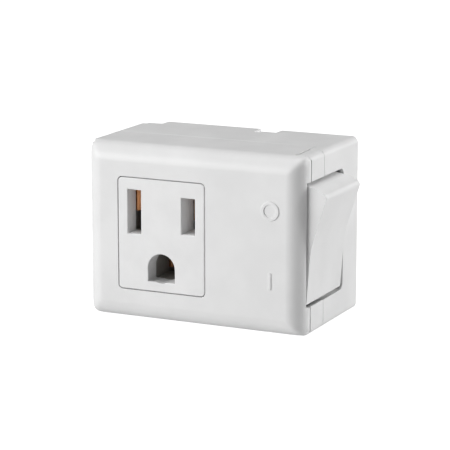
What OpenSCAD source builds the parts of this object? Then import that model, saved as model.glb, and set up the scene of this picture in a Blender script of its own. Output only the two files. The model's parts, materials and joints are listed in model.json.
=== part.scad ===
// Plug-in outlet tap with a rocker switch on its side.
// Frame: X to the right, Y towards the wall, Z up. The origin lies on the wall face,
// midway between the two plug blades. Every size is in millimetres.

/* [Case] */
// Width of the case, left to right
body_w = 50.8; // [50:0.1:62]
// Depth of the case, front face to wall face
body_d = 30; // [30:0.5:40]
// Height of the case
body_h = 38.2; // [37:0.1:46]
// Left side to the plug's centre line
plug_from_left = 18.2; // [17:0.1:19]
// Top to the blades' centre line
plug_from_top = 14.4; // [13.6:0.1:16]
// Thickness of the side walls
wall = 1.8; // [1.6:0.1:2.2]
// Thickness of the front wall
front_wall = 2.2; // [2:0.1:2.6]
// Thickness of the wall that meets the wall plate
rear_wall = 2.2; // [2:0.1:2.6]
// Radius of the roll around the front face
front_round = 4; // [2:0.1:4.4]
// Radius of the long edges beside the switch
switch_edge_round = 1.4; // [0.5:0.1:1.8]
// Radius of the long edges beside the outlet
outlet_edge_round = 0.9; // [0.5:0.1:1.8]

/* [Seams] */
// Front face to the cover's edge on the switch side
side_seam_depth = 4; // [3.6:0.1:5]
// Front face to the seam between switch frame and housing
frame_seam_depth = 11.2; // [9:0.1:13]
// Front face to the cover's edge on the other three sides
cover_depth = 14.7; // [14:0.1:17]
// Width of the switch frame's strip on the top and bottom
strip_w = 3.4; // [3:0.1:6]
// Width of the tight seams
seam_gap = 0.12; // [0.05:0.01:0.2]
// Width of the shadow line beside the switch
shadow_gap = 0.5; // [0.2:0.05:0.6]
// Width of the gap at the inner end of the switch frame's strip
strip_gap = 0.35; // [0.1:0.05:0.5]

/* [Outlet] */
// Width of the outlet face
face_w = 20.3; // [19:0.1:22]
// Height of the outlet face
face_h = 24.2; // [23:0.1:26]
// Blades' centre line to the top of the outlet face
face_top = 7.3; // [6.5:0.1:8]
// Thickness of the outlet face
face_t = 3.8; // [3.4:0.1:4.4]
// Corner radius of the outlet face
face_round = 0.9; // [0.5:0.1:1.5]
// Lip that holds the outlet face behind the cover
face_lip = 0.7; // [0.5:0.1:0.7]
// Gap around the outlet face
face_gap = 0.18; // [0.1:0.01:0.3]
// Width of the blade slots
slot_w = 3.15; // [2.8:0.05:3.4]
// Height of the neutral slot
neutral_slot_h = 9.5; // [8.5:0.1:10]
// Height of the hot slot
hot_slot_h = 7.8; // [7:0.1:8.4]
// Depth of the sleeve behind the hot slot, from the front
hot_sleeve_depth = 5.9; // [4.6:0.1:6]
// Radius of the ground hole's arch
ground_hole_r = 3.15; // [2.7:0.05:3.3]
// Arch centre to the ground hole's flat sill
ground_hole_sill = 2.9; // [2.5:0.1:3]

/* [Plug] */
// Distance between the two blades
blade_pitch = 12.7; // [12.6:0.05:12.8]
// Blades' centre line down to the ground pin
ground_drop = 11.86; // [11.8:0.02:11.9]
// Height of a blade
blade_h = 6.35; // [6:0.05:6.6]
// Thickness of a blade
blade_t = 1.52; // [1.4:0.02:1.6]
// Length of a blade outside the case
blade_len = 17.5; // [16:0.1:18.2]
// Wall face to the hole in a blade
blade_hole_from_face = 11.7; // [10:0.1:12.5]
// Radius of the hole in a blade
blade_hole_r = 1.6; // [1.4:0.05:2]
// Radius of the ground pin
pin_r = 2.38; // [2.2:0.01:2.5]
// Length of the ground pin outside the case
pin_len = 20.6; // [19:0.1:21.5]
// How deep the sockets take a stranger's plug, from the front
socket_depth = 18.6; // [18.3:0.1:19]

/* [Rocker] */
// Front face to the switch opening
opening_from_front = 2.6; // [2.3:0.1:3.4]
// Width of the switch opening, front to rear
opening_w = 19.3; // [17:0.1:22]
// Height of the switch opening
opening_h = 26.5; // [24:0.1:28]
// Top of the case to the switch opening
opening_from_top = 5.5; // [4.6:0.1:6]
// Radius of the opening's rear corners
opening_round = 1.5; // [0.5:0.1:2]
// Side of the case in to the rocker's pivot
pivot_inset = 3.1; // [2.8:0.1:4]
// Full swing of the rocker in degrees
rocker_swing = 22; // [16:1:24]
// Gap at each side of the rocker
rocker_side_gap = 0.4; // [0.25:0.05:0.6]
// Gap at each end of the rocker
rocker_end_gap = 0.4; // [0.3:0.05:0.6]
// Slope of each half of the rocker's face in degrees
face_slope = 7.2; // [4:0.1:9]
// Pivot out to the valley of the rocker's face
face_rise = 3.6; // [3:0.1:4.4]
// Radius of the valley between the two halves
valley_r = 28; // [10:1:40]
// Thickness of the rocker's shell
rocker_wall = 1.5; // [1.2:0.1:1.8]
// Depth of the rocker's skirt below its pivot
skirt_depth = 4.6; // [3:0.1:6]
// Radius of the rocker's pivot stubs
stub_r = 1.5; // [1.2:0.05:1.8]
// Length of a pivot stub
stub_len = 1.6; // [1.2:0.1:1.8]
// Radial clearance of the pivot stubs
stub_clearance = 0.06; // [0.03:0.01:0.1]

/* [Switch] */
// Pivot in to the centre of the plunger's nose
plunger_reach = 9.5; // [9:0.1:11]
// Radius of the plunger
plunger_r = 1.8; // [1.5:0.05:2]
// Radial clearance of the plunger in its bore
plunger_clearance = 0.08; // [0.04:0.01:0.1]
// Length of the plunger behind its nose
plunger_len = 5; // [4:0.1:5.5]
// Wall of the stem around the plunger
stem_wall = 1.1; // [0.9:0.1:1.4]
// Wire diameter of the plunger's spring
spring_wire = 0.5; // [0.3:0.05:0.6]
// Turns of the plunger's spring
spring_turns = 5; // [3:1:7]
// Tilt of the rocking contact each way in degrees
contact_tilt = 8; // [6:0.5:9]
// Slope of the rocking contact's saddle in degrees
saddle_slope = 16; // [14:0.5:18]
// Half length of the rocking contact's saddle
saddle_half = 3.2; // [2.8:0.1:3.6]
// Half length of the rocking contact
contact_half = 7.8; // [7:0.1:8.4]
// Width of the contact strips in the switch
strip_metal_w = 5; // [4:0.1:6]
// Thickness of the contact strips
metal_t = 0.8; // [0.6:0.05:0.9]
// Radius of the contact tips
tip_r = 1.5; // [1.2:0.1:1.8]
// Height of the contact tips
tip_h = 0.9; // [0.7:0.1:1.1]

/* [Fasteners] */
// Radius of the case screws' shank
screw_r = 1.05; // [0.9:0.05:1.2]
// Radius of the case screws' heads
screw_head_r = 1.9; // [1.7:0.05:2]
// Height of the case screws' heads
screw_head_h = 1.2; // [1:0.1:1.3]
// Length of the case screws
screw_len = 21; // [18:0.5:24]
// Radius of the screw bosses
boss_r = 1.9; // [1.8:0.05:2]
// Radius of the rivets' shank
rivet_r = 0.9; // [0.7:0.05:1.1]
// Radius of the rivets' heads
rivet_head_r = 1.6; // [1.3:0.05:1.8]

/* [Hidden] */
$fn = 64;
eps = 0.01;      // a hair, so that cuts run through
over = 1;        // how far a cut or a region runs past the case

// Case planes
x_left = -plug_from_left;
x_right = x_left + body_w;
z_top = plug_from_top;
z_bot = z_top - body_h;
y_front = -body_d;
x_strip = x_right - strip_w;
y_side_seam = y_front + side_seam_depth;
y_frame_seam = y_front + frame_seam_depth;
y_cover_seam = y_front + cover_depth;
x_in_left = x_left + wall;
x_in_right = x_right - wall;
y_in_front = y_front + front_wall;
y_in_rear = -rear_wall;
z_in_top = z_top - wall;
z_in_bot = z_bot + wall;

// Outlet
face_bot = face_top - face_h;
y_face_back = y_front + face_t;
y_sleeve_back = y_front + hot_sleeve_depth;
sleeve_wall = 1;
x_hot = blade_pitch / 2;
x_neutral = -blade_pitch / 2;
z_ground = -ground_drop;

// Rocker
open_y0 = y_front + opening_from_front;
open_y1 = open_y0 + opening_w;
open_z1 = z_top - opening_from_top;
open_z0 = open_z1 - opening_h;
pivot_x = x_right - pivot_inset;
pivot_z = (open_z0 + open_z1) / 2;
rocker_r = opening_h / 2 - rocker_end_gap;
rocker_y0 = open_y0 + rocker_side_gap;
rocker_y1 = open_y1 - rocker_side_gap;
rocker_mid_y = (rocker_y0 + rocker_y1) / 2;
rest_tilt = rocker_swing / 2;
stub_end_gap = 0.15;
bearing_t = 1.8;
bearing_half = 4.5;

// Plunger and its bore, measured outwards from the rocker's pivot
stem_r = plunger_r + plunger_clearance + stem_wall;
stem_end = -(plunger_reach - 2.2);
bore_top = 0.6;
plunger_back = -(plunger_reach - plunger_len);
spring_gap = 0.05;

// Rocking contact: its saddle turns on the fulcrum, and the nose runs just clear of it
nose_gap = 0.1;
fulcrum_x = pivot_x - plunger_reach - metal_t - (plunger_r + nose_gap) / cos(saddle_slope);
arm_rise = saddle_half * tan(saddle_slope);
tip_arm = contact_half - tip_r - 0.1;
tip_face_x = fulcrum_x + (arm_rise - tip_h) * cos(contact_tilt) - tip_arm * sin(contact_tilt);
tip_face_z = pivot_z + (arm_rise - tip_h) * sin(contact_tilt) + tip_arm * cos(contact_tilt);
tip_gap = 0.1;
seat_x1 = tip_face_x - tip_gap - tip_h;   // faces of the two fixed strips
seat_x0 = seat_x1 - metal_t;
stop_x = tip_face_x + tip_h * cos(contact_tilt) - tip_r * tan(contact_tilt) - tip_gap;

// Strips behind the outlet
y_web = y_front + socket_depth;
leaf_t = 0.6;
leaf_half_gap = 0.45;
leaf_flare = 1;
neutral_leaf_z0 = -0.6;
neutral_leaf_z1 = 4.6;
hot_leaf_z0 = -2;
hot_leaf_z1 = 4;
neutral_lip_y = y_face_back + 0.4;
hot_lip_y = y_sleeve_back + 0.3;
blade_inner = 5.8;        // blade's tail inside the rear wall
blade_tail_y = y_in_rear - blade_inner;
shoulder_h = 1.1;
shoulder_d = 1.3;
blade_slot_gap = 0.1;
strap_z0 = -1;
strap_z1 = 4.4;
blade_rivet_y = y_in_rear - 3.6;
blade_rivet_z = 1.2;
rivet_head_h = 0.6;
rivet_gap = 0.02;
common_z0 = pivot_z - 2;
common_z1 = pivot_z + 2;
joint_rivet_x = seat_x0 - 2.4;
y_fixed_bend = blade_tail_y - metal_t;
strip_front_y = rocker_mid_y - strip_metal_w / 2;

// Ground contact and pin
pin_web_y = y_front + pin_len + 0.8;
pin_neck_r = pin_r - 0.4;
pin_collar_r = pin_r + 1;
pin_collar_h = 1.6;
pin_tenon_r = 1.5;
pin_tenon_gap = 0.03;
pin_head_h = 0.6;
ground_leaf_x = 2.15;
ground_leaf_h = 4.4;
ground_lip_y = y_face_back + 7;

// Screws and the carrier
frame_back_t = 1.6;
frame_back_x0 = seat_x0 - frame_back_t;
boss_inset = 0.5;         // first boss to the case's inner walls
boss_to_top = 0.15;       // second boss to the inner top wall
boss_to_frame = 1;        // second boss to the switch frame
screws = [[x_in_left + boss_r + boss_inset, z_in_bot + boss_r + boss_inset],
          [frame_back_x0 - boss_r - boss_to_frame, z_in_top - boss_r - boss_to_top]];
screw_head_recess = 1.4;
screw_head_gap = 0.15;
boss_gap = 0.2;
column_split_y = -12;
carrier_x0 = -11.2;
carrier_x1 = frame_back_x0 - 0.3;
carrier_z0 = face_bot - 0.3;
carrier_z1 = face_top + 0.1;
carrier_y0 = y_face_back + 0.2;
carrier_y1 = y_web - 1.6;
carrier_cell = 3.3;
carrier_cell_h = 11.2;
frame_arm_t = 2.2;
frame_clearance = 0.2;    // frame to the case's inner walls
frame_root_x = x_strip + 0.6;
lip_t = 0.8;
lip_len = 1.6;
lip_gap = 0.1;

// ---------- helpers ----------

// A box between two corners
module span(a, b) {
    translate(a) cube(b - a);
}

// Takes the corner off an edge that runs along +Z from the origin, with the body in +X and +Y
module edge_cutter(length, r) {
    difference() {
        span([-over, -over, -over], [r, r, length + over]);
        translate([r, r, -2 * over]) cylinder(h = length + 4 * over, r = r);
    }
}

// The four long edges and the four front edges of the case, ready to be cut
module case_edge_cutters() {
    len_x = x_right - x_left;
    len_y = -y_front;
    len_z = z_top - z_bot;
    translate([x_left, y_front, z_top]) rotate([0, 90, 0]) edge_cutter(len_x, front_round);
    translate([x_right, y_front, z_bot]) rotate([0, -90, 0]) edge_cutter(len_x, front_round);
    translate([x_left, y_front, z_bot]) edge_cutter(len_z, front_round);
    translate([x_right, y_front, z_bot]) mirror([1, 0, 0]) edge_cutter(len_z, front_round);
    translate([x_left, y_front, z_top]) rotate([-90, 0, 0]) edge_cutter(len_y, outlet_edge_round);
    translate([x_left, 0, z_bot]) rotate([90, 0, 0]) edge_cutter(len_y, outlet_edge_round);
    translate([x_right, y_front, z_top]) rotate([-90, 0, 0]) mirror([1, 0, 0])
        edge_cutter(len_y, switch_edge_round);
    translate([x_right, 0, z_bot]) rotate([90, 0, 0]) mirror([1, 0, 0])
        edge_cutter(len_y, switch_edge_round);
}

// The case's walls as one shell, before the seams divide it
module case_shell() {
    difference() {
        span([x_left, y_front, z_bot], [x_right, 0, z_top]);
        case_edge_cutters();
        span([x_in_left, y_in_front, z_in_bot], [x_in_right, y_in_rear, z_in_top]);
    }
}

// The opening in the switch side, with round corners at the rear
module switch_opening() {
    x0 = x_in_right - over;
    x1 = x_right + over;
    span([x0, open_y0, open_z0], [x1, open_y1 - opening_round, open_z1]);
    span([x0, open_y0, open_z0 + opening_round], [x1, open_y1, open_z1 - opening_round]);
    for (z = [open_z0 + opening_round, open_z1 - opening_round])
        translate([x0, open_y1 - opening_round, z]) rotate([0, 90, 0])
            cylinder(h = x1 - x0, r = opening_round);
}

// A plate in the XZ plane with round corners, standing from y0 to y1
module round_plate(x0, x1, y0, y1, z0, z1, r) {
    span([x0 + r, y0, z0], [x1 - r, y1, z1]);
    span([x0, y0, z0 + r], [x1, y1, z1 - r]);
    for (x = [x0 + r, x1 - r], z = [z0 + r, z1 - r])
        translate([x, y0, z]) rotate([-90, 0, 0]) cylinder(h = y1 - y0, r = r);
}

// A round bar along +Y from y0 to y1
module bar_y(x, z, y0, y1, r) {
    translate([x, y0, z]) rotate([-90, 0, 0]) cylinder(h = y1 - y0, r = r);
}

// A round bar along +X from x0 to x1
module bar_x(y, z, x0, x1, r) {
    translate([x0, y, z]) rotate([0, 90, 0]) cylinder(h = x1 - x0, r = r);
}

// The arch-topped ground hole, from y0 to y1
module ground_hole(y0, y1) {
    bar_y(0, z_ground, y0, y1, ground_hole_r);
    span([-ground_hole_r, y0, z_ground - ground_hole_sill], [ground_hole_r, y1, z_ground]);
}

// A domed contact tip that stands along +X from the origin
module contact_tip() {
    dome_r = 4 * tip_r;
    rotate([0, 90, 0]) rotate_extrude() intersection() {
        square([tip_r, tip_h]);
        translate([0, tip_h - dome_r]) circle(r = dome_r, $fn = 180);
    }
}

// ---------- case ----------

mark_x = 25.2;
mark_h = 0.2;           // how far the marks stand out of the front face
mark_stroke = 0.7;
off_mark_z = 2.9;
off_mark_r = 2.05;
on_mark_z = -12;
on_mark_h = 3.5;

// The raised ring and bar that show the rocker's two positions
module switch_marks() {
    difference() {
        bar_y(mark_x, off_mark_z, y_front - mark_h, y_front + eps, off_mark_r);
        bar_y(mark_x, off_mark_z, y_front - over, y_front + over, off_mark_r - mark_stroke);
    }
    span([mark_x - mark_stroke / 2, y_front - mark_h, on_mark_z - on_mark_h / 2],
         [mark_x + mark_stroke / 2, y_front + eps, on_mark_z + on_mark_h / 2]);
}

module front_cover() color("whitesmoke") {
    difference() {
        union() {
            intersection() {
                case_shell();
                union() {
                    span([x_left - over, y_front - over, z_bot - over],
                         [x_right + over, y_side_seam - seam_gap / 2, z_top + over]);
                    span([x_left - over, y_front - over, z_bot - over],
                         [x_strip - seam_gap / 2, y_cover_seam - seam_gap / 2, z_top + over]);
                }
            }
            for (s = screws) bar_y(s[0], s[1], y_in_front - eps, column_split_y, boss_r);
            switch_marks();
        }
        round_plate(-face_w / 2 - face_gap, face_w / 2 + face_gap, y_front - over, y_in_front + eps,
                    face_bot - face_gap, face_top + face_gap, face_round + face_gap);
        switch_opening();
        bar_y(pivot_x, pivot_z, rocker_y0 - stub_len - stub_end_gap, y_in_front + over,
              stub_r + stub_clearance);
        for (s = screws) bar_y(s[0], s[1], y_in_front + 2, column_split_y + over, screw_r + 0.02);
    }
}

module outlet_face() color("white") {
    y_lip = y_in_front + 0.1;
    difference() {
        union() {
            round_plate(-face_w / 2, face_w / 2, y_front, y_face_back, face_bot, face_top, face_round);
            round_plate(-face_w / 2 - face_lip, face_w / 2 + face_lip, y_lip, y_face_back,
                        face_bot - face_lip, face_top + face_lip, face_round);
            span([x_hot - slot_w / 2 - sleeve_wall, y_lip, -hot_slot_h / 2 - sleeve_wall],
                 [x_hot + slot_w / 2 + sleeve_wall, y_sleeve_back, hot_slot_h / 2 + sleeve_wall]);
        }
        span([x_neutral - slot_w / 2, y_front - over, -neutral_slot_h / 2],
             [x_neutral + slot_w / 2, y_face_back + over, neutral_slot_h / 2]);
        span([x_hot - slot_w / 2, y_front - over, -hot_slot_h / 2],
             [x_hot + slot_w / 2, y_sleeve_back + over, hot_slot_h / 2]);
        ground_hole(y_front - over, y_face_back + over);
    }
}

// Frame of the switch: a strip that shows above and below the rocker, on a C inside the case
module switch_frame() color("whitesmoke") {
    y0 = y_side_seam + seam_gap / 2;
    y1 = y_frame_seam - seam_gap / 2;
    top_z = z_in_top - frame_clearance;
    bot_z = z_in_bot + frame_clearance;
    difference() {
        union() {
            intersection() {
                case_shell();
                span([x_strip + strip_gap, y0, z_bot - over], [x_right + over, y1, z_top + over]);
            }
            for (z = [top_z - frame_arm_t, bot_z])
                span([frame_back_x0, y0, z], [x_in_right + eps, y1, z + frame_arm_t]);
            span([frame_root_x, y0, top_z - eps], [x_in_right + eps, y1, z_in_top + eps]);
            span([frame_root_x, y0, z_in_bot - eps], [x_in_right + eps, y1, bot_z + eps]);
            span([frame_back_x0, y0, bot_z], [seat_x0, y_web - 2, top_z]);
            // stop for the rocking contact's lower arm
            bar_x(rocker_mid_y, pivot_z - tip_arm, seat_x0 - eps, stop_x, tip_r);
        }
        switch_opening();
        // shadow line beside the cover's edge
        span([x_in_right, y_side_seam - over, z_bot + outlet_edge_round],
             [x_right + over, y_side_seam + shadow_gap, z_top - outlet_edge_round]);
    }
}

notch_w = 5;
notch_len = 4.3;
notch_depth = 0.6;
notch_left = 9.6;

// The two shallow notches in the top rear edge
module rear_notches() {
    for (x0 = [x_left - over, notch_left])
        span([x0, -notch_len, z_top - notch_depth],
             [(x0 < x_left ? x_left : x0) + notch_w, over, z_top + over]);
}

// The tongue that locates the cover and its root on the housing's wall, clear of the bosses
module housing_lip() {
    x1 = frame_back_x0 - 0.4;
    y0 = y_cover_seam - lip_len;
    y1 = y_cover_seam + 1;
    difference() {
        union() {
            span([x_in_left + lip_gap, y0, z_in_bot + lip_gap], [x1, y1, z_in_top - lip_gap]);
            span([x_in_left - eps, y_cover_seam + seam_gap / 2, z_in_bot - eps],
                 [x1, y1, z_in_top + eps]);
        }
        span([x_in_left + lip_gap + lip_t, y0 - over, z_in_bot + lip_gap + lip_t],
             [x1 + over, y1 + over, z_in_top - lip_gap - lip_t]);
        for (s = screws) bar_y(s[0], s[1], y0 - over, y1 + over, boss_r + boss_gap);
    }
}

module rear_housing() color("whitesmoke") {
    difference() {
        union() {
            intersection() {
                case_shell();
                union() {
                    span([x_left - over, y_cover_seam + seam_gap / 2, z_bot - over],
                         [x_right + over, over, z_top + over]);
                    span([x_strip + seam_gap / 2, y_frame_seam + seam_gap / 2, z_bot - over],
                         [x_right + over, over, z_top + over]);
                }
            }
            for (s = screws) bar_y(s[0], s[1], column_split_y + 0.1, y_in_rear + eps, boss_r);
            housing_lip();
            span([pivot_x - bearing_half, open_y1, pivot_z - bearing_half],
                 [x_in_right + eps, open_y1 + bearing_t, pivot_z + bearing_half]);
            // posts that press the contact carrier against the outlet face
            for (x = [carrier_x0, carrier_x1 - 2], z = [carrier_z0, carrier_z1 - 2])
                span([x, carrier_y1, z], [x + 2, y_in_rear + eps, z + 2]);
        }
        switch_opening();
        rear_notches();
        bar_y(pivot_x, pivot_z, open_y1 - over, open_y1 + bearing_t + over, stub_r + stub_clearance);
        for (x = [x_hot, x_neutral])
            span([x - blade_t / 2 - blade_slot_gap, y_in_rear - over, -blade_h / 2 - blade_slot_gap],
                 [x + blade_t / 2 + blade_slot_gap, over, blade_h / 2 + blade_slot_gap]);
        bar_y(0, z_ground, y_in_rear - over, over, pin_r + blade_slot_gap);
        for (s = screws) {
            bar_y(s[0], s[1], column_split_y - over, over, screw_r + 0.25);
            bar_y(s[0], s[1], -screw_head_recess, over, screw_head_r + screw_head_gap);
        }
    }
}

// Inner block that keeps the three contacts apart
module contact_carrier() color("lightgray") {
    difference() {
        span([carrier_x0, carrier_y0, carrier_z0], [carrier_x1, carrier_y1, carrier_z1]);
        for (x = [x_hot, x_neutral])
            span([x - carrier_cell, carrier_y0 - over, -carrier_cell_h / 2],
                 [x + carrier_cell, carrier_y1 + over, carrier_cell_h / 2]);
        span([-carrier_cell - 0.6, carrier_y0 - over, z_ground - carrier_cell],
             [carrier_cell + 0.6, carrier_y1 + over, z_ground + carrier_cell]);
    }
}

// ---------- rocker and plunger ----------

// Outline of the rocker in its mid position, u outwards and w up, set in by a wall
module rocker_outline(inset) {
    rise = face_rise - inset;
    reach = rocker_r;
    intersection() {
        circle(r = rocker_r - inset);
        polygon([[-skirt_depth - (inset > 0 ? over : 0), -reach],
                 [rise + reach * tan(face_slope), -reach], [rise, 0],
                 [rise + reach * tan(face_slope), reach],
                 [-skirt_depth - (inset > 0 ? over : 0), reach]]);
    }
}

// The round that fills the valley between the face's two halves
module valley_fill() {
    w = valley_r * sin(face_slope);
    u = face_rise + w * tan(face_slope);
    difference() {
        polygon([[face_rise - 0.5, -w], [u, -w], [u, w], [face_rise - 0.5, w]]);
        translate([face_rise + valley_r / cos(face_slope), 0]) circle(r = valley_r, $fn = 180);
    }
}

// Places a shape drawn about the pivot, with u as X and w as Z, at the rocker's rest tilt
module at_rocker_rest() {
    translate([pivot_x, 0, pivot_z]) rotate([0, rest_tilt, 0]) children();
}

module rocker() color("white") at_rocker_rest() {
    corner_r = opening_round + rocker_side_gap;
    inner_y0 = rocker_y0 + rocker_wall;
    inner_y1 = rocker_y1 - rocker_wall;
    difference() {
        union() {
            difference() {
                translate([0, rocker_y1, 0]) rotate([90, 0, 0])
                    linear_extrude(height = rocker_y1 - rocker_y0) union() {
                        rocker_outline(0);
                        valley_fill();
                    }
                translate([0, inner_y1, 0]) rotate([90, 0, 0])
                    linear_extrude(height = inner_y1 - inner_y0) rocker_outline(rocker_wall);
            }
            bar_y(0, 0, rocker_y0 - stub_len, rocker_y0 + eps, stub_r);
            bar_y(0, 0, rocker_y1 - eps, rocker_y1 + stub_len, stub_r);
            bar_x(rocker_mid_y, 0, stem_end, face_rise - rocker_wall + 0.3, stem_r);
        }
        bar_x(rocker_mid_y, 0, stem_end - over, bore_top, plunger_r + plunger_clearance);
        // rear corners, rounded to follow the opening's
        for (end = [0, 1]) mirror([0, 0, end])
            translate([-skirt_depth - over, rocker_y1, rocker_r])
                rotate([0, 90, 0]) mirror([0, 1, 0])
                    edge_cutter(skirt_depth + rocker_r, corner_r);
    }
}

module plunger() color("ivory") at_rocker_rest() {
    bar_x(rocker_mid_y, 0, -plunger_reach, plunger_back, plunger_r);
    translate([-plunger_reach, rocker_mid_y, 0]) sphere(r = plunger_r);
}

// Points of one ring of the spring's wire, at a turn angle along the coil
function spring_ring(angle, sides, coil_r, pitch) =
    [for (i = [0:sides - 1])
        let (a = 360 * i / sides, r = coil_r + spring_wire / 2 * cos(a))
        [pitch * angle / 360 + spring_wire / 2 * sin(a), r * cos(angle), r * sin(angle)]];

module plunger_spring() color("silver") at_rocker_rest() {
    sides = 6;
    steps = 12 * spring_turns;
    coil_r = plunger_r - spring_wire / 2 - 0.1;
    coil_x0 = plunger_back + spring_gap + spring_wire / 2;
    coil_len = bore_top - spring_gap - spring_wire / 2 - coil_x0;
    pitch = coil_len / spring_turns;
    rings = [for (k = [0:steps]) spring_ring(360 * spring_turns * k / steps, sides, coil_r, pitch)];
    points = [for (ring = rings, p = ring) p];
    skin = [for (k = [0:steps - 1], i = [0:sides - 1])
        [k * sides + i, k * sides + (i + 1) % sides,
         (k + 1) * sides + (i + 1) % sides, (k + 1) * sides + i]];
    ends = [[for (i = [sides - 1:-1:0]) i], [for (i = [0:sides - 1]) steps * sides + i]];
    translate([coil_x0, rocker_mid_y, 0]) polyhedron(points = points, faces = concat(skin, ends));
}

// ---------- contacts ----------

// Places a shape drawn about the fulcrum, with the saddle facing +X, at its rest tilt
module at_contact_rest() {
    translate([fulcrum_x, rocker_mid_y, pivot_z]) rotate([0, -contact_tilt, 0]) children();
}

module rocking_contact() color("peru") at_contact_rest() {
    under = [[arm_rise, -contact_half], [arm_rise, -saddle_half], [0, 0],
             [arm_rise, saddle_half], [arm_rise, contact_half]];
    top = [for (i = [len(under) - 1:-1:0]) under[i] + [metal_t, 0]];
    translate([0, strip_metal_w / 2, 0]) rotate([90, 0, 0]) linear_extrude(height = strip_metal_w)
        polygon(concat(under, top));
}

module moving_tip() color("silver") at_contact_rest()
    translate([arm_rise, 0, tip_arm]) mirror([1, 0, 0]) contact_tip();

module fixed_tip() color("silver")
    translate([seat_x1, rocker_mid_y, tip_face_z]) contact_tip();

// Strip from the hot blade to the seat under the fixed tip
module fixed_terminal() color("peru") {
    blade_x1 = x_hot + blade_t / 2;
    difference() {
        union() {
            span([seat_x0, strip_front_y, strap_z0], [seat_x1, y_fixed_bend + metal_t, strap_z1]);
            span([blade_x1, y_fixed_bend, strap_z0], [seat_x1, y_fixed_bend + metal_t, strap_z1]);
            span([blade_x1, y_fixed_bend, strap_z0],
                 [blade_x1 + metal_t, y_in_rear - shoulder_d - 0.1, strap_z1]);
        }
        bar_x(blade_rivet_y, blade_rivet_z, blade_x1 - over, blade_x1 + metal_t + over,
              rivet_r + rivet_gap);
    }
}

// Strip that carries the fulcrum and joins the hot contact
module common_terminal() color("peru") {
    foot_y0 = y_web + metal_t;
    foot_y1 = foot_y0 + metal_t;
    difference() {
        union() {
            span([seat_x0, strip_front_y, common_z0], [seat_x1, foot_y1, common_z1]);
            span([joint_rivet_x - 2, foot_y0, common_z0], [seat_x1, foot_y1, common_z1]);
            translate([0, rocker_mid_y + strip_metal_w / 2, 0]) rotate([90, 0, 0])
                linear_extrude(height = strip_metal_w)
                    polygon([[seat_x1 - eps, pivot_z - 1.6], [fulcrum_x - 0.05, pivot_z],
                             [seat_x1 - eps, pivot_z + 1.6]]);
        }
        bar_y(joint_rivet_x, pivot_z, foot_y0 - over, foot_y1 + over, rivet_r + rivet_gap);
    }
}

// A pair of leaves that grips a blade: flared lips in front, joined by a web behind
module leaf_pair(x, lip_y, half_gap, z0, z1, web_y) {
    bend_y = lip_y + leaf_flare;
    half = [[half_gap, web_y + metal_t], [half_gap, bend_y],
            [half_gap + leaf_flare, lip_y], [half_gap + leaf_flare + leaf_t, lip_y + leaf_t / 2],
            [half_gap + leaf_t, bend_y + leaf_t / 2], [half_gap + leaf_t, web_y + metal_t]];
    translate([x, 0, z0]) linear_extrude(height = z1 - z0)
        for (side = [1, -1]) polygon([for (p = half) [side * p[0], p[1]]]);
    span([x - half_gap - leaf_t, web_y, z0], [x + half_gap + leaf_t, web_y + metal_t, z1]);
}

module hot_contact() color("peru") {
    difference() {
        union() {
            leaf_pair(x_hot, hot_lip_y, leaf_half_gap, hot_leaf_z0, hot_leaf_z1, y_web);
            span([x_hot - leaf_half_gap - leaf_t, y_web, common_z0],
                 [x_hot + leaf_half_gap + leaf_t, y_web + metal_t, 0]);
            span([x_hot, y_web, common_z0], [seat_x0 - 0.1, y_web + metal_t, common_z1]);
        }
        bar_y(joint_rivet_x, pivot_z, y_web - over, y_web + metal_t + over, rivet_r + rivet_gap);
    }
}

module neutral_contact() color("peru") {
    blade_x0 = x_neutral - blade_t / 2;
    difference() {
        union() {
            leaf_pair(x_neutral, neutral_lip_y, leaf_half_gap, neutral_leaf_z0, neutral_leaf_z1, y_web);
            span([blade_x0 - metal_t, y_web, strap_z0], [x_neutral, y_web + metal_t, strap_z1 - 0.2]);
            span([blade_x0 - metal_t, y_web, strap_z0],
                 [blade_x0, y_in_rear - shoulder_d - 0.1, strap_z1 - 0.2]);
        }
        bar_x(blade_rivet_y, blade_rivet_z, blade_x0 - metal_t - over, blade_x0 + over,
              rivet_r + rivet_gap);
    }
}

module ground_contact() color("peru") {
    difference() {
        leaf_pair(0, ground_lip_y, ground_leaf_x, z_ground - ground_leaf_h / 2,
                  z_ground + ground_leaf_h / 2, pin_web_y);
        bar_y(0, z_ground, pin_web_y - over, pin_web_y + metal_t + over, pin_tenon_r + pin_tenon_gap);
    }
}

// ---------- plug ----------

blade_tip_r = 1.6;

// A plug blade: round-cornered tip, hole, shoulders behind the wall and a tail with a rivet hole
module blade(x) {
    x0 = x - blade_t / 2;
    x1 = x + blade_t / 2;
    half = blade_h / 2;
    difference() {
        union() {
            span([x0, blade_tail_y, -half], [x1, blade_len - blade_tip_r, half]);
            span([x0, blade_tail_y, -half + blade_tip_r], [x1, blade_len, half - blade_tip_r]);
            for (z = [-1, 1])
                bar_x(blade_len - blade_tip_r, z * (half - blade_tip_r), x0, x1, blade_tip_r);
            span([x0, y_in_rear - shoulder_d, -half - shoulder_h],
                 [x1, y_in_rear, half + shoulder_h]);
        }
        bar_x(blade_hole_from_face, 0, x0 - over, x1 + over, blade_hole_r);
        bar_x(blade_rivet_y, blade_rivet_z, x0 - over, x1 + over, rivet_r + rivet_gap);
    }
}

module hot_blade() color("gold") blade(x_hot);

module neutral_blade() color("gold") blade(x_neutral);

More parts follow.
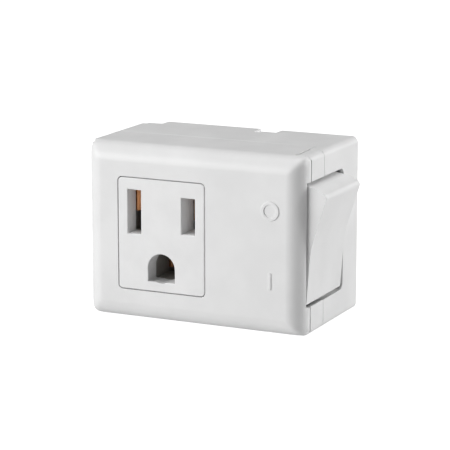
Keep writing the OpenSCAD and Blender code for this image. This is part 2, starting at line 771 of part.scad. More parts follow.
module ground_pin() color("gold") {
    bar_y(0, z_ground, 0, pin_len - pin_r, pin_r);
    bar_y(0, z_ground, y_in_rear - eps, eps, pin_neck_r);
    translate([0, pin_len - pin_r, z_ground]) sphere(r = pin_r);
    bar_y(0, z_ground, y_in_rear - pin_collar_h, y_in_rear, pin_collar_r);
    bar_y(0, z_ground, pin_web_y + metal_t, y_in_rear - pin_collar_h + eps, pin_tenon_r + 0.4);
    bar_y(0, z_ground, pin_web_y - pin_head_h, pin_web_y + metal_t + eps, pin_tenon_r);
    bar_y(0, z_ground, pin_web_y - pin_head_h, pin_web_y, ground_leaf_x - 0.15);
}

// ---------- fasteners ----------

// A rivet along +Z with a head at each end of a stack of the given thickness
module rivet(stack) {
    translate([0, 0, -eps]) cylinder(h = stack + 2 * eps, r = rivet_r);
    translate([0, 0, -rivet_head_h]) cylinder(h = rivet_head_h, r = rivet_head_r);
    translate([0, 0, stack]) cylinder(h = rivet_head_h, r = rivet_head_r);
}

module blade_rivets() color("darkgoldenrod") {
    translate([x_hot - blade_t / 2, blade_rivet_y, blade_rivet_z]) rotate([0, 90, 0])
        rivet(blade_t + metal_t);
    translate([x_neutral - blade_t / 2 - metal_t, blade_rivet_y, blade_rivet_z]) rotate([0, 90, 0])
        rivet(blade_t + metal_t);
    translate([joint_rivet_x, y_web, pivot_z]) rotate([-90, 0, 0]) rivet(2 * metal_t);
}

// A pan-head screw with a cross recess; the head faces the wall
module case_screw() {
    head_y = -0.1;
    under_head = head_y - screw_head_h;
    recess_w = 0.5;
    recess_len = 2;
    difference() {
        union() {
            bar_y(0, 0, under_head, head_y, screw_head_r);
            bar_y(0, 0, under_head - screw_len, under_head + eps, screw_r);
        }
        for (turn = [0, 90]) rotate([0, turn, 0])
            span([-recess_len / 2, head_y - 0.7, -recess_w / 2],
                 [recess_len / 2, head_y + over, recess_w / 2]);
    }
}

module case_screws() color("silver")
    for (s = screws) translate([s[0], 0, s[1]]) case_screw();

front_cover();
outlet_face();
switch_frame();
rear_housing();
contact_carrier();
rocker();
plunger();
plunger_spring();
rocking_contact();
moving_tip();
fixed_tip();
fixed_terminal();
common_terminal();
hot_contact();
neutral_contact();
ground_contact();
hot_blade();
neutral_blade();
ground_pin();
blade_rivets();
case_screws();
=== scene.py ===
"""Looks of a plug-in outlet tap with a rocker switch on its side.

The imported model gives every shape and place. This script rounds the edges that a finger would feel,
gives each piece its material, and sets up the floor, the light and the camera.
"""

import json
import logging
import math
from collections.abc import Callable, Iterable
from dataclasses import dataclass
from enum import Enum

import bmesh
import bpy
from mathutils import Matrix, Vector


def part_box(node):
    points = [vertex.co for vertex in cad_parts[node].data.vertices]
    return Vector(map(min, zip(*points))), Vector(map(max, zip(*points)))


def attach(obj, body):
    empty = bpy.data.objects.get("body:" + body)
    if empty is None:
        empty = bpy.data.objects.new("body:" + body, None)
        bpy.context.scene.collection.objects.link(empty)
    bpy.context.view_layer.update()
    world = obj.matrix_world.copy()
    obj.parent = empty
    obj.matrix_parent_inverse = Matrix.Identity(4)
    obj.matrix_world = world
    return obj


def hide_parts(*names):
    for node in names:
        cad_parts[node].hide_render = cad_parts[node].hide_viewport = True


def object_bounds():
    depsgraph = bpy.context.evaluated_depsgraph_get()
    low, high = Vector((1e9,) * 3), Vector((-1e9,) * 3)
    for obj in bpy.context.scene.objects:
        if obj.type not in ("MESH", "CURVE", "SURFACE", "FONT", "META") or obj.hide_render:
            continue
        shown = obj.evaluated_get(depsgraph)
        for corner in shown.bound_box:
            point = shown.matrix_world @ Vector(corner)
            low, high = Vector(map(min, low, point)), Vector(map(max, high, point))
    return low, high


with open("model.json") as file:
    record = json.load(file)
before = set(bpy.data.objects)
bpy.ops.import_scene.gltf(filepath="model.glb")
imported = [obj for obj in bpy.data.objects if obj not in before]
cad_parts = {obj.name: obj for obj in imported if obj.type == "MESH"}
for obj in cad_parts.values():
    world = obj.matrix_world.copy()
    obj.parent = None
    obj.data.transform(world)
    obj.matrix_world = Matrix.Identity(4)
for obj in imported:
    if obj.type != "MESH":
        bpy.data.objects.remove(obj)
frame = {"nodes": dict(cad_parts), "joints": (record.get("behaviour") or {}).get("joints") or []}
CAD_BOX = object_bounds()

LOG = logging.getLogger("outlet_tap")
MM = 0.001
MERGE = 1e-6                    # corners nearer than this are one corner
FLAT = math.radians(0.5)        # faces nearer to one plane than this are one face
SHARP = math.radians(28)        # an edge folded more than this can be rounded
SMOOTH_TO = math.radians(50)    # an edge folded less than this is shaded smooth
WEIGHT = 80                     # how much the larger faces decide the shading
HAIR = 0.1 * MM                 # a step too small to be a feature
MEAN = 0.5                      # a noise texture's middle value

EdgePick = Callable[[bmesh.types.BMEdge], bool]


class Body(Enum):
    """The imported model's bodies that new pieces ride on."""

    CASE = "case"
    ROCKER = "rocker"


class Slot(Enum):
    """The record's material slots."""

    CASE = "case_plastic"
    FACE = "face_plastic"
    ROCKER = "rocker_plastic"
    INNER = "inner_plastic"
    COPPER = "contact_copper"
    SILVER = "contact_silver"
    BLADE = "blade_brass"
    RIVET = "rivet_brass"
    SPRING = "spring_steel"
    SCREW = "screw_steel"


# ---------- shader maths ----------


class Val:
    """A socket that gives a number, a colour or a vector, with operators that add Math nodes."""

    def __init__(self, shader: "Shader", socket: bpy.types.NodeSocket) -> None:
        """Keeps the shader and the socket together."""
        self.shader = shader
        self.socket = socket

    def _math(self, operation: str, a: "Val | float", b: "Val | float" = 0.0) -> "Val":
        """A Math node on two numbers.

        Args:
            operation: the Math node's operation.
            a: its first input.
            b: its second input.

        Returns:
            The result.
        """
        return self.shader.node("ShaderNodeMath", {"operation": operation}, {0: a, 1: b})

    def __add__(self, other: "Val | float") -> "Val":
        """self + other."""
        return self._math("ADD", self, other)

    def __radd__(self, other: float) -> "Val":
        """other + self."""
        return self._math("ADD", other, self)

    def __sub__(self, other: "Val | float") -> "Val":
        """self - other."""
        return self._math("SUBTRACT", self, other)

    def __rsub__(self, other: float) -> "Val":
        """other - self."""
        return self._math("SUBTRACT", other, self)

    def __mul__(self, other: "Val | float") -> "Val":
        """self * other."""
        return self._math("MULTIPLY", self, other)

    def __rmul__(self, other: float) -> "Val":
        """other * self."""
        return self._math("MULTIPLY", other, self)

    def ramp(self, low: float, high: float) -> "Val":
        """0 below low and 1 above high, with a smooth rise in between.

        Args:
            low: the value at which the rise starts.
            high: the value at which it ends.

        Returns:
            The eased value.
        """
        return self.shader.node(
            "ShaderNodeMapRange",
            {"interpolation_type": "SMOOTHSTEP", "clamp": True},
            {"Value": self, "From Min": low, "From Max": high},
        )


class Shader:
    """A material under construction. One method adds any node to it."""

    def __init__(self, name: str) -> None:
        """Makes an empty material.

        Args:
            name: the material's name.
        """
        self.material = bpy.data.materials.new(name)
        self.material.use_nodes = True
        self.tree = self.material.node_tree
        self.tree.nodes.clear()

    def node(
        self,
        kind: str,
        settings: dict[str, object] | None = None,
        inputs: dict[int | str, object] | None = None,
        output: int | str = 0,
    ) -> Val:
        """Adds a node: its settings first, then the values or links of its sockets.

        Args:
            kind: the node's type.
            settings: its properties by name.
            inputs: a value or a Val for each socket, by name or index.
            output: which output socket to hand back.

        Returns:
            The node's output.
        """
        new = self.tree.nodes.new(kind)
        for key, value in (settings or {}).items():
            setattr(new, key, value)
        for key, value in (inputs or {}).items():
            if isinstance(value, Val):
                self.tree.links.new(value.socket, new.inputs[key])
            else:
                new.inputs[key].default_value = value
        return Val(self, new.outputs[output])

    def place(self, stretch: tuple[float, float, float] = (1.0, 1.0, 1.0)) -> Val:
        """The point on the surface in the row frame, in metres, stretched along each axis."""
        point = self.node("ShaderNodeTexCoord", output="Object")
        return self.node("ShaderNodeMapping", None, {"Vector": point, "Scale": stretch})

    def noise(self, point: Val, grain: float, detail: float = 2.0, roughness: float = 0.5) -> Val:
        """Smooth random values from 0 to 1.

        Args:
            point: where to read it.
            grain: the size of one swell, in metres.
            detail: how many finer layers it has.
            roughness: how strong the finer layers are.

        Returns:
            The noise.
        """
        values = {"Vector": point, "Scale": 1 / grain, "Detail": detail, "Roughness": roughness}
        return self.node("ShaderNodeTexNoise", None, values)

    def cells(self, point: Val, grain: float) -> Val:
        """The distance to the middle of the nearest of many small cells of that size."""
        return self.node("ShaderNodeTexVoronoi", None, {"Vector": point, "Scale": 1 / grain})

    def blend(self, share: Val, a: tuple[float, ...] | Val, b: tuple[float, ...] | Val) -> Val:
        """A colour between two colours.

        Args:
            share: 0 gives a and 1 gives b.
            a: the first colour.
            b: the second colour.

        Returns:
            The mixed colour.
        """
        return self.node("ShaderNodeMix", {"data_type": "RGBA"}, {0: share, 6: a, 7: b}, output=2)

    def bump(self, height: Val, distance: float) -> Val:
        """A surface normal that shows a height of 0 to 1 as relief of that many metres.

        Args:
            height: the relief, from 0 to 1.
            distance: how high 1 stands, in metres.

        Returns:
            The normal.
        """
        return self.node("ShaderNodeBump", None, {"Height": height, "Distance": distance})

    def surface(self, **inputs: object) -> bpy.types.Material:
        """Ends the material in a Principled BSDF with these inputs, spaces written as underscores.

        Returns:
            The finished material.
        """
        named = {key.replace("_", " "): value for key, value in inputs.items()}
        bsdf = self.node("ShaderNodeBsdfPrincipled", None, named)
        out = self.tree.nodes.new("ShaderNodeOutputMaterial")
        self.tree.links.new(bsdf.socket, out.inputs["Surface"])
        return self.material


def rgba(red: float, green: float, blue: float) -> tuple[float, float, float, float]:
    """An opaque colour."""
    return (red, green, blue, 1.0)


WHITE = rgba(1.0, 1.0, 1.0)
BLACK = rgba(0.0, 0.0, 0.0)


# ---------- finishes ----------


@dataclass(frozen=True)
class Plastic:
    """Moulded plastic with a fine spark-eroded grain and a faint cloudiness."""

    name: str
    slot: Slot
    colour: tuple[float, float, float] = (0.80, 0.80, 0.80)
    roughness: float = 0.42
    grain: float = 0.32 * MM
    grain_depth: float = 0.0035 * MM
    cloud: float = 9 * MM
    cloud_share: float = 0.025
    pit_size: float = 1.6           # against the grain's
    pit_share: float = 0.3          # of the relief
    cloud_band: tuple[float, float] = (0.3, 0.7)
    pit_band: tuple[float, float] = (0.1, 0.7)
    cloud_rough: float = 0.08
    grain_rough: float = 0.12
    ior: float = 1.49

    def material(self) -> bpy.types.Material:
        """Builds the material.

        Returns:
            The material, which reads object coordinates.
        """
        shader = Shader(self.name)
        point = shader.place()
        cloud = shader.noise(point, self.cloud, detail=3.0)
        fine = shader.noise(point, self.grain, detail=2.5, roughness=0.6)
        pits = shader.cells(point, self.grain * self.pit_size)
        relief = fine * (1 - self.pit_share) + pits.ramp(*self.pit_band) * self.pit_share
        dark = rgba(*(c * (1 - self.cloud_share) for c in self.colour))
        light = rgba(*(min(1.0, c * (1 + self.cloud_share)) for c in self.colour))
        colour = shader.blend(cloud.ramp(*self.cloud_band), dark, light)
        rough = self.roughness + (cloud - MEAN) * self.cloud_rough + (fine - MEAN) * self.grain_rough
        return shader.surface(
            Base_Color=colour,
            Roughness=rough,
            IOR=self.ior,
            Normal=shader.bump(relief, self.grain_depth),
        )


@dataclass(frozen=True)
class StripMetal:
    """Rolled and stamped metal: fine lines along the strip, blotches of tarnish, small nicks."""

    name: str
    slot: Slot
    colour: tuple[float, float, float]
    tarnish: tuple[float, float, float]
    roughness: float = 0.3
    tarnish_share: float = 0.5
    lines_along: tuple[float, float, float] = (1.0, 0.04, 1.0)
    line_width: float = 0.12 * MM
    line_depth: float = 0.002 * MM
    blotch: float = 2.6 * MM
    age_band: tuple[float, float] = (0.4, 0.72)
    nick_band: tuple[float, float] = (0.02, 0.12)
    nick_size: float = 0.45         # against the blotches'
    nick_depth: float = 0.5         # against the relief
    line_relief: float = 0.8
    line_rough: float = 0.18
    age_rough: float = 0.25
    nick_rough: float = 0.1

    def material(self) -> bpy.types.Material:
        """Builds the material.

        Returns:
            The material, which reads object coordinates.
        """
        shader = Shader(self.name)
        lines = shader.noise(shader.place(self.lines_along), self.line_width, detail=3.0)
        point = shader.place()
        blotch = shader.noise(point, self.blotch, detail=5.0, roughness=0.65)
        nicks = 1 - shader.cells(point, self.blotch * self.nick_size).ramp(*self.nick_band)
        age = blotch.ramp(*self.age_band) * self.tarnish_share
        colour = shader.blend(age, rgba(*self.colour), rgba(*self.tarnish))
        wear = age * self.age_rough + nicks * self.nick_rough
        rough = self.roughness + (lines - MEAN) * self.line_rough + wear
        relief = lines * self.line_relief - nicks * self.nick_depth
        return shader.surface(
            Base_Color=colour,
            Roughness=rough,
            Metallic=1.0,
            Normal=shader.bump(relief, self.line_depth),
        )


CASE_PLASTIC = Plastic("white_case_plastic", Slot.CASE)
FACE_PLASTIC = Plastic("white_outlet_plastic", Slot.FACE, colour=(0.82, 0.82, 0.82), cloud=6 * MM)
ROCKER_PLASTIC = Plastic(
    "white_rocker_plastic", Slot.ROCKER, colour=(0.81, 0.81, 0.81), roughness=0.36, grain_depth=0.002 * MM
)
INNER_PLASTIC = Plastic(
    "grey_inner_plastic", Slot.INNER, colour=(0.42, 0.41, 0.39), roughness=0.5, cloud_share=0.06
)
COPPER = StripMetal(
    "copper_strip", Slot.COPPER, colour=(0.86, 0.42, 0.2), tarnish=(0.42, 0.16, 0.07), roughness=0.34
)
SILVER = StripMetal(
    "silver_contact", Slot.SILVER, colour=(0.82, 0.81, 0.78), tarnish=(0.4, 0.37, 0.32), roughness=0.32
)
BLADE_BRASS = StripMetal(
    "stamped_brass", Slot.BLADE, colour=(0.86, 0.68, 0.36), tarnish=(0.56, 0.39, 0.16),
    roughness=0.26, tarnish_share=0.35,
)
RIVET_BRASS = StripMetal(
    "headed_brass", Slot.RIVET, colour=(0.8, 0.6, 0.3), tarnish=(0.46, 0.31, 0.13),
    lines_along=(1.0, 1.0, 1.0), roughness=0.32,
)
SPRING_STEEL = StripMetal(
    "drawn_spring_wire", Slot.SPRING, colour=(0.6, 0.6, 0.62), tarnish=(0.3, 0.29, 0.28),
    lines_along=(1.0, 1.0, 1.0), roughness=0.28,
)
SCREW_STEEL = StripMetal(
    "zinc_plated_steel", Slot.SCREW, colour=(0.66, 0.67, 0.69), tarnish=(0.42, 0.42, 0.4),
    lines_along=(1.0, 1.0, 1.0), roughness=0.36, blotch=0.9 * MM,
)


# ---------- workbench ----------


class Workpiece:
    """A mesh on the bench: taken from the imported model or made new, then worked and set down."""

    def __init__(self, mesh: bmesh.types.BMesh) -> None:
        """Takes up a bmesh."""
        self.mesh = mesh

    @classmethod
    def of_node(cls, node: str) -> "Workpiece":
        """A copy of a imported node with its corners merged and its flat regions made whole.

        Args:
            node: the node's name.

        Returns:
            The copy on the bench.
        """
        mesh = bmesh.new()
        mesh.from_mesh(frame["nodes"][node].data)
        bmesh.ops.remove_doubles(mesh, verts=mesh.verts, dist=MERGE)
        bmesh.ops.dissolve_limit(mesh, angle_limit=FLAT, verts=mesh.verts, edges=mesh.edges)
        return cls(mesh)

    def sharp_edges(self, pick: EdgePick) -> list[bmesh.types.BMEdge]:
        """The sharp edges that pick accepts."""
        return [e for e in self.mesh.edges if e.is_manifold and e.calc_face_angle(0.0) > SHARP and pick(e)]

    def soften(self, width: float, pick: EdgePick, segments: int = 2) -> "Workpiece":
        """Rounds the sharp edges that pick accepts.

        Args:
            width: how far the round reaches from the edge, in metres.
            pick: says whether an edge is rounded.
            segments: how many faces make up the round.

        Returns:
            The workpiece itself.
        """
        bmesh.ops.bevel(
            self.mesh,
            geom=self.sharp_edges(pick),
            offset=width,
            offset_type="OFFSET",
            segments=segments,
            profile=0.5,
            affect="EDGES",
            clamp_overlap=True,
            material=-1,
        )
        return self

    def slice(self, axis: int, levels: Iterable[float]) -> "Workpiece":
        """Cuts every face that a row of planes crosses, so that it can take a finer shape.

        Args:
            axis: the axis that the planes stand across, 0 to 2.
            levels: where they stand on it, in metres.

        Returns:
            The workpiece itself.
        """
        normal = Vector((0.0, 0.0, 0.0))
        normal[axis] = 1.0
        for level in levels:
            whole = self.mesh.verts[:] + self.mesh.edges[:] + self.mesh.faces[:]
            bmesh.ops.bisect_plane(
                self.mesh, geom=whole, dist=MERGE, plane_co=normal * level, plane_no=normal
            )
        return self

    def set_down(
        self, name: str, body: Body, finish: "Plastic | StripMetal", material: bpy.types.Material,
        stands_for: Iterable[str] = (),
    ) -> bpy.types.Object:
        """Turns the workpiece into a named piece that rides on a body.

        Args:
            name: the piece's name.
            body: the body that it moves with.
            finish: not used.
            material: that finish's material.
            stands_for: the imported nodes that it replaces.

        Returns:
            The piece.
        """
        data = bpy.data.meshes.new(name)
        self.mesh.to_mesh(data)
        self.mesh.free()
        data.materials.clear()
        data.materials.append(material)
        for polygon in data.polygons:
            polygon.use_smooth = True
            polygon.material_index = 0
        data.set_sharp_from_angle(angle=SMOOTH_TO)
        piece = bpy.data.objects.new(name, data)
        bpy.context.scene.collection.objects.link(piece)
        weigh = piece.modifiers.new("even_shading", "WEIGHTED_NORMAL")
        weigh.keep_sharp = True
        weigh.weight = WEIGHT
        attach(piece, body.value)
        nodes = list(stands_for)
        if nodes:
            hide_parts(*nodes)
        LOG.info("%s: %d faces, rides on %s, stands for %s", name, len(data.polygons), body.value, nodes)
        return piece


class Paint:
    """The materials, each made once, when a piece first asks for it."""

    def __init__(self) -> None:
        """Starts with none made."""
        self.made: dict[str, bpy.types.Material] = {}

    def of(self, finish: "Plastic | StripMetal") -> bpy.types.Material:
        """The material of a finish."""
        if finish.name not in self.made:
            self.made[finish.name] = finish.material()
        return self.made[finish.name]

    def dress(self, node: str, finish: "Plastic | StripMetal") -> None:
        """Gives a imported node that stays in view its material.

        Args:
            node: the node's name.
            finish: its finish.
        """
        obj = frame["nodes"][node]
        obj.data.materials.clear()
        obj.data.materials.append(self.of(finish))
        LOG.info("%s: packed node dressed in %s", node, finish.name)


# ---------- sub-assemblies ----------


@dataclass
class Case:
    """The moulded case: front cover, outlet face, switch frame and rear housing."""

    paint: Paint
    edge: float = 0.08 * MM
    face_edge: float = 0.2 * MM
    mark_edge: float = 0.14 * MM
    skin: float = 0.9 * MM          # an edge deeper than this is inside the case
    roll: float = 4.0 * MM          # radius of the roll around the front
    squareness: float = 4.5         # 2 gives ball corners, more gives squarer ones
    slices: int = 10                # cuts across each corner, each way
    corner_from: float = 0.86       # share of the roll, squared, at which a corner starts to blend
    fade_over: float = 0.3          # share of the roll over which the blend fades towards the rear
    roll_end: float = 0.05 * MM     # the last bit of the roll, whose edges count as rims
    mark_from_x: float = 22.5 * MM

    def build(self) -> None:
        """Makes the four mouldings."""
        low, high = self.envelope()
        for node, name in (
            ("front_cover", "cover_shell"),
            ("switch_frame", "switch_frame_shell"),
            ("rear_housing", "housing_shell"),
        ):
            work = Workpiece.of_node(node)
            work.soften(self.edge, lambda e: self.is_rim(e, low, high))
            if node == "front_cover":
                work.soften(self.mark_edge, lambda e: self.is_mark(e, low), segments=3)
                self.round_corners(work, low, high)
            work.set_down(name, Body.CASE, CASE_PLASTIC, self.paint.of(CASE_PLASTIC), [node])
        face = Workpiece.of_node("outlet_face")
        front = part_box("outlet_face")[0].y
        face.soften(self.face_edge, lambda e: all(v.co.y < front + HAIR for v in e.verts), segments=3)
        face.set_down("outlet_plate", Body.CASE, FACE_PLASTIC, self.paint.of(FACE_PLASTIC), ["outlet_face"])

    def envelope(self) -> tuple[Vector, Vector]:
        """Lowest and highest corner of the case's outer walls, without the marks on the front."""
        boxes = [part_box(n) for n in ("front_cover", "switch_frame", "rear_housing")]
        low = Vector(min(b[0][i] for b in boxes) for i in range(3))
        high = Vector(max(b[1][i] for b in boxes) for i in range(3))
        low.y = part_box("outlet_face")[0].y
        return low, high

    def depths(self, point: Vector, low: Vector, high: Vector) -> tuple[float, float, float]:
        """How far a point lies behind the nearest side, the front, and the top or bottom.

        Args:
            point: the point.
            low: the walls' lowest corner.
            high: their highest corner.

        Returns:
            The three depths in metres.
        """
        side = min(point.x - low.x, high.x - point.x)
        flat = min(point.z - low.z, high.z - point.z)
        return side, point.y - low.y, flat

    def is_rim(self, edge: bmesh.types.BMEdge, low: Vector, high: Vector) -> bool:
        """Whether an edge is a rim on the case's outer walls, and not a mark or a mitred corner.

        Args:
            edge: the edge.
            low: the walls' lowest corner.
            high: their highest corner.

        Returns:
            True for a rim that a finger can feel.
        """
        mid = (edge.verts[0].co + edge.verts[1].co) / 2
        side, front, flat = self.depths(mid, low, high)
        rear = high.y - mid.y
        outside = min(side, front, flat, rear) < self.skin
        cut = self.cover_rear(low) - MERGE
        in_corner = max(side, flat) < self.roll and front < min(cut, self.roll - self.roll_end)
        return outside and not in_corner and not self.is_mark(edge, low)

    def cover_rear(self, low: Vector) -> float:
        """How far behind the front the cover ends."""
        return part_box("front_cover")[1].y - low.y

    def is_mark(self, edge: bmesh.types.BMEdge, low: Vector) -> bool:
        """Whether an edge belongs to one of the two raised switch marks."""
        proud = min(v.co.y for v in edge.verts) < low.y - HAIR
        return proud and all(v.co.x > self.mark_from_x for v in edge.verts)

    def round_corners(self, work: Workpiece, low: Vector, high: Vector) -> None:
        """Turns the cover's four mitred front corners into soft ones.

        The roll keeps its radius along each side. Near a corner the two rolls blend, as on a mould
        that was cut with a ball-nosed tool.

        Args:
            work: the cover.
            low: the walls' lowest corner.
            high: their highest corner.
        """
        steps = [self.roll * (k + 0.5) / self.slices for k in range(self.slices)]
        work.slice(0, [low.x + s for s in steps] + [high.x - s for s in steps])
        work.slice(2, [low.z + s for s in steps] + [high.z - s for s in steps])
        moved = 0
        for vert in work.mesh.verts:
            a, c, b = (max(0.0, 1 - d / self.roll) for d in self.depths(vert.co, low, high))
            if min(a, b, c) <= 0.0 or max(a, b) ** 2 + c * c < self.corner_from:
                continue
            across = (a**self.squareness + b**self.squareness) ** (1 / self.squareness)
            pull = 1 / math.hypot(across, c) - 1
            if pull >= 0:
                continue
            fade = min(1.0, c / self.fade_over)
            pull *= fade * fade * (3 - 2 * fade)
            heart = Vector((
                low.x + self.roll if vert.co.x - low.x < self.roll else high.x - self.roll,
                low.y + self.roll,
                low.z + self.roll if vert.co.z - low.z < self.roll else high.z - self.roll,
            ))
            vert.co = vert.co + (vert.co - heart) * pull
            moved += 1
        LOG.info("front corners: %d points blended", moved)


@dataclass
class RockerSwitch:
    """The rocker with its soft edges, and the plunger and spring that it carries."""

    paint: Paint
    edge: float = 0.7 * MM
    sunken_edge: float = 0.15 * MM
    tip_round: float = 1.3 * MM     # radius of the end that stands out
    slices: int = 12                # cuts across that end, each way
    slice_reach: float = 2.2        # how far the cuts reach, against the radius
    face_slope: float = math.radians(7.2)
    tip_from: float = 0.88          # share of the half length beyond which an edge is at a tip
    face_from: float = 3.0 * MM     # an edge further out than this is on the face
    wall_tolerance: float = 0.01 * MM
    stub_least: float = 0.5 * MM    # a pivot stub is longer than this

    def build(self) -> None:
        """Makes the rocker and dresses the plunger and the spring."""
        joint = next(j for j in frame["joints"] if j["name"] == "rocker_tilt")
        pivot = Vector(joint["pos_m"])
        half_swing = math.radians(joint["range_deg"][1]) / 2
        unturn = Matrix.Rotation(-half_swing, 3, "Y")
        low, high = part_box("rocker")
        stubs = self.stub_length(low.y)
        front, rear = low.y + stubs, high.y - stubs

        points = [unturn @ (v.co - pivot) for v in frame["nodes"]["rocker"].data.vertices]
        reach = self.tip_from * max(abs(p.z) for p in points)

        def ends(edge: bmesh.types.BMEdge) -> list[Vector]:
            """An edge's two ends, seen from the pivot with the rocker level."""
            return [unturn @ (v.co - pivot) for v in edge.verts]

        def is_side(edge: bmesh.types.BMEdge) -> bool:
            """Whether an edge runs along a side of the face or of an end."""
            on = self.wall_tolerance
            side = any(all(abs(v.co.y - y) < on for v in edge.verts) for y in (front, rear))
            return side and all(p.x > self.face_from or abs(p.z) > reach for p in ends(edge))

        def is_sunken(edge: bmesh.types.BMEdge) -> bool:
            """Whether an edge runs across the end that lies in the case."""
            return all(p.z < -reach and p.x > self.face_from for p in ends(edge))

        cap = Workpiece.of_node("rocker")
        cap.soften(self.edge, is_side, segments=4).soften(self.sunken_edge, is_sunken)
        self.round_tip(cap, pivot, unturn)
        cap.set_down("rocker_cap", Body.ROCKER, ROCKER_PLASTIC, self.paint.of(ROCKER_PLASTIC), ["rocker"])
        self.paint.dress("plunger", INNER_PLASTIC)
        self.paint.dress("plunger_spring", SPRING_STEEL)

    def round_tip(self, cap: Workpiece, pivot: Vector, unturn: Matrix) -> None:
        """Rounds the end that stands out, where the face runs over into the end.

        Args:
            cap: the rocker.
            pivot: a point on its pivot line.
            unturn: the turn that brings it level.
        """
        tip = max((unturn @ (v.co - pivot) for v in cap.mesh.verts), key=lambda p: p.x + p.z)
        face = Vector((tip.x - math.tan(self.face_slope) * tip.z, 0.0, 0.0))
        along = Vector((tip.x - face.x, 0.0, tip.z)).normalized()
        out_of_face = Vector((along.z, 0.0, -along.x))
        out_of_end = Vector((tip.x, 0.0, tip.z)).normalized()
        half = math.acos(max(-1.0, min(1.0, out_of_face.dot(out_of_end)))) / 2
        bisector = (out_of_face + out_of_end).normalized()
        heart = Vector((tip.x, 0.0, tip.z)) - bisector * (self.tip_round / math.cos(half))
        world_tip = pivot + unturn.inverted() @ Vector((tip.x, 0.0, tip.z))
        steps = [self.slice_reach * self.tip_round * (k + 0.5) / self.slices for k in range(self.slices)]
        cap.slice(0, [world_tip.x - s for s in steps])
        cap.slice(2, [world_tip.z - s for s in steps])
        moved = 0
        for vert in cap.mesh.verts:
            level = unturn @ (vert.co - pivot)
            arm = Vector((level.x - heart.x, 0.0, level.z - heart.z))
            in_wedge = arm.dot(bisector) > arm.length * math.cos(half)
            if arm.length <= self.tip_round or not in_wedge:
                continue
            arm = arm * (self.tip_round / arm.length)
            vert.co = pivot + unturn.inverted() @ Vector((heart.x + arm.x, level.y, heart.z + arm.z))
            moved += 1
        bmesh.ops.remove_doubles(cap.mesh, verts=cap.mesh.verts, dist=MERGE)
        LOG.info("rocker tip: %d points rounded", moved)

    def stub_length(self, low_y: float) -> float:
        """How far a pivot stub stands out of the rocker's side.

        Args:
            low_y: the front of the front stub.

        Returns:
            The length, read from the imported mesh's second-lowest step along Y.
        """
        levels = sorted({round(v.co.y, 6) for v in frame["nodes"]["rocker"].data.vertices})
        return next(y for y in levels if y > low_y + self.stub_least) - low_y


@dataclass
class Works:
    """The metal parts: plug blades, socket contacts, switch contacts, rivets and screws."""

    paint: Paint
    blade_edge: float = 0.12 * MM
    tip_edge: float = 0.42 * MM
    tip_length: float = 2.2 * MM
    head_edge: float = 0.12 * MM
    head_depth: float = 1.3 * MM

    def build(self) -> None:
        """Makes the plug's blades and screws and dresses the inner parts."""
        for node in ("hot_blade", "neutral_blade"):
            self.blade(node)
        pin = Workpiece.of_node("ground_pin")
        pin.set_down("ground_prong", Body.CASE, BLADE_BRASS, self.paint.of(BLADE_BRASS), ["ground_pin"])
        screws = Workpiece.of_node("case_screws")
        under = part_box("case_screws")[1].y - self.head_depth
        screws.soften(self.head_edge, lambda e: all(v.co.y > under for v in e.verts))
        steel = self.paint.of(SCREW_STEEL)
        screws.set_down("case_screw_pair", Body.CASE, SCREW_STEEL, steel, ["case_screws"])
        for node in ("rocking_contact", "fixed_terminal", "common_terminal", "hot_contact",
                     "neutral_contact", "ground_contact"):
            self.paint.dress(node, COPPER)
        for node in ("moving_tip", "fixed_tip"):
            self.paint.dress(node, SILVER)
        self.paint.dress("blade_rivets", RIVET_BRASS)
        self.paint.dress("contact_carrier", INNER_PLASTIC)

    def blade(self, node: str) -> None:
        """Makes one plug blade, with its tip coined thinner all round.

        Args:
            node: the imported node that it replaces.
        """
        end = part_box(node)[1].y
        work = Workpiece.of_node(node)

        def at_tip(edge: bmesh.types.BMEdge) -> bool:
            """Whether an edge runs round the blade's tip."""
            return all(v.co.y > end - self.tip_length for v in edge.verts)

        work.soften(self.tip_edge, at_tip, segments=3)
        work.soften(self.blade_edge, lambda e: all(0 < v.co.y < end - self.tip_length for v in e.verts))
        work.set_down(node + "_prong", Body.CASE, BLADE_BRASS, self.paint.of(BLADE_BRASS), [node])


# ---------- studio ----------


@dataclass(frozen=True)
class Softbox:
    """A large soft light that faces the part."""

    name: str
    azimuth: float       # degrees round the part; 0 stands in front, 90 on the switch side
    elevation: float     # degrees above the floor
    watts: float
    size: float = 0.5
    distance: float = 0.8

    def place(self, target: Vector) -> bpy.types.Object:
        """Hangs the light.

        Args:
            target: the point that it faces.

        Returns:
            The light.
        """
        data = bpy.data.lights.new(self.name, "AREA")
        data.shape = "SQUARE"
        data.size = self.size
        data.energy = self.watts
        turn, rise = math.radians(self.azimuth), math.radians(self.elevation)
        away = Vector((math.sin(turn) * math.cos(rise), -math.cos(turn) * math.cos(rise), math.sin(rise)))
        lamp = bpy.data.objects.new(self.name, data)
        lamp.location = target + away * self.distance
        lamp.rotation_euler = away.to_track_quat("Z", "Y").to_euler()
        bpy.context.scene.collection.objects.link(lamp)
        return lamp


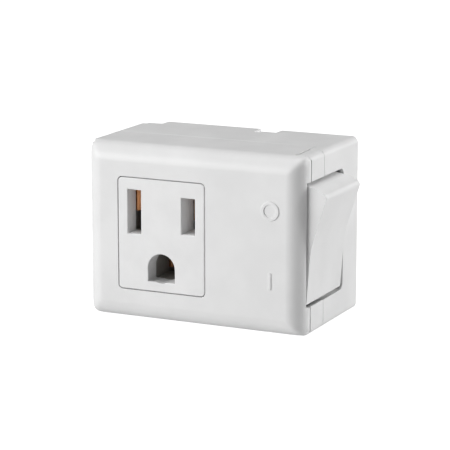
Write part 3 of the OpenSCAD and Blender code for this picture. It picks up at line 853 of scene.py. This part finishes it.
@dataclass
class Studio:
    """White floor and background, soft lights, and the camera."""

    floor_half: float = 3.0
    floor_gap: float = 0.02 * MM
    floor_glow: float = 0.335       # what the floor sends to the part; the camera sees it white
    floor_grey: float = 0.3
    floor_roughness: float = 0.9
    camera_at: tuple[float, float, float] = (0.19976, -0.42124, 0.09310)
    azimuth: float = 25.283
    elevation: float = 12.257
    roll: float = -0.022
    lens: float = 170.17
    sensor: float = 36.0
    clip_start: float = 0.01
    boxes: tuple[Softbox, ...] = (
        Softbox("left_softbox", -41, 15, 5.5),
        Softbox("right_softbox", 127, 15, 5.2),
        Softbox("top_softbox", 0, 88, 3.5),
    )

    def build(self) -> None:
        """Sets up the background, the floor, the lights and the camera."""
        scene = bpy.context.scene
        scene.view_settings.view_transform = "Standard"
        scene.view_settings.look = "None"
        self.background(scene)
        self.floor()
        target = (CAD_BOX[0] + CAD_BOX[1]) / 2
        for box in self.boxes:
            box.place(target)
        self.camera(scene)

    def background(self, scene: bpy.types.Scene) -> None:
        """Makes a white world that the camera sees and that adds no light of its own.

        Args:
            scene: the scene that gets it.
        """
        world = bpy.data.worlds.new("white_room")
        world.use_nodes = True
        tree = world.node_tree
        tree.nodes.clear()
        path = tree.nodes.new("ShaderNodeLightPath")
        dark = tree.nodes.new("ShaderNodeBackground")
        dark.inputs["Color"].default_value = BLACK
        seen = tree.nodes.new("ShaderNodeBackground")
        seen.inputs["Color"].default_value = WHITE
        mix = tree.nodes.new("ShaderNodeMixShader")
        out = tree.nodes.new("ShaderNodeOutputWorld")
        tree.links.new(path.outputs["Is Camera Ray"], mix.inputs[0])
        tree.links.new(dark.outputs[0], mix.inputs[1])
        tree.links.new(seen.outputs[0], mix.inputs[2])
        tree.links.new(mix.outputs[0], out.inputs["Surface"])
        scene.world = world

    def floor(self) -> None:
        """Lays a plain white floor under the part, lit up like a light table."""
        mesh = bmesh.new()
        bmesh.ops.create_grid(mesh, x_segments=1, y_segments=1, size=self.floor_half)
        drop = Matrix.Translation((0, 0, CAD_BOX[0].z - self.floor_gap))
        bmesh.ops.transform(mesh, matrix=drop, verts=mesh.verts)
        data = bpy.data.meshes.new("floor")
        mesh.to_mesh(data)
        mesh.free()
        shader = Shader("white_floor")
        path = shader.node("ShaderNodeLightPath", output="Is Camera Ray")
        glow = shader.blend(path, rgba(*[self.floor_glow] * 3), WHITE)
        data.materials.append(
            shader.surface(
                Base_Color=rgba(*[self.floor_grey] * 3),
                Roughness=self.floor_roughness,
                Emission_Color=glow,
                Emission_Strength=1.0,
            )
        )
        floor = bpy.data.objects.new("floor", data)
        bpy.context.scene.collection.objects.link(floor)

    def camera(self, scene: bpy.types.Scene) -> None:
        """Stands the camera where the view was taken from.

        Args:
            scene: the scene that gets it.
        """
        turn, rise, roll = (math.radians(d) for d in (self.azimuth, self.elevation, self.roll))
        back = Vector((math.sin(turn) * math.cos(rise), -math.cos(turn) * math.cos(rise), math.sin(rise)))
        right = Vector((math.cos(turn), math.sin(turn), 0.0))
        up = back.cross(right)
        side = right * math.cos(roll) + up * math.sin(roll)
        top = up * math.cos(roll) - right * math.sin(roll)
        data = bpy.data.cameras.new("camera")
        data.sensor_width = self.sensor
        data.lens = self.lens
        data.clip_start = self.clip_start
        camera = bpy.data.objects.new("camera", data)
        turned = Matrix((side, top, back)).transposed().to_4x4()
        camera.matrix_world = Matrix.Translation(self.camera_at) @ turned
        scene.collection.objects.link(camera)
        scene.camera = camera


def main() -> None:
    """Builds the sub-assemblies in order, then the studio."""
    logging.basicConfig(level=logging.INFO, format="%(message)s")
    paint = Paint()
    for assembly in (Case(paint), RockerSwitch(paint), Works(paint), Studio()):
        LOG.info("building %s", type(assembly).__name__)
        assembly.build()


if __name__ == "__main__":
    main()
